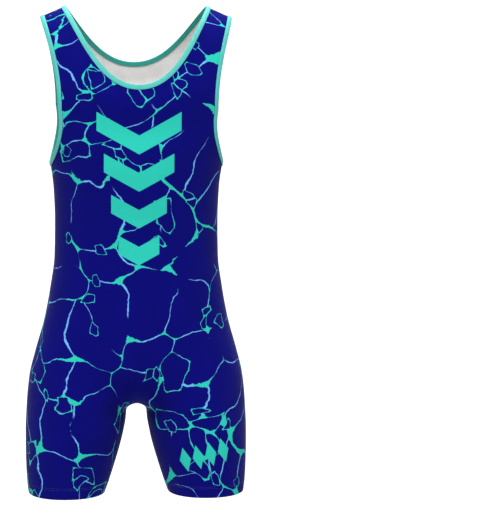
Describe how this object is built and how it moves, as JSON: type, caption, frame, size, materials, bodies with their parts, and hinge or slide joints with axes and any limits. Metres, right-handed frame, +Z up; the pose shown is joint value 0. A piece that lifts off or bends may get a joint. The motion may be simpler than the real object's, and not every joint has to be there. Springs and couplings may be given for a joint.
{
  "type": "athletic singlet",
  "caption": "Close-fitting one-piece stretch singlet with wide shoulder straps, a scooped neck, deep armholes and thigh-length legs, in its hollow worn form.",
  "frame": {"origin": "midway between the two shoulder straps, at the height of the straps' middles, where the wearer's shoulders carry the garment", "axes": "+Z up, -Y is the front of the garment, +X is the wearer's left"},
  "size_m": [0.3792, 0.236, 0.8326],
  "materials": {
    "printed_stretch_knit": null,
    "binding": "matt knitted binding tape, teal"
  },
  "bodies": {
    "root": {"front": "printed_stretch_knit", "back": "printed_stretch_knit", "neck_binding": "binding", "armhole_binding_left": "binding", "armhole_binding_right": "binding"}
  },
  "joints": []
}
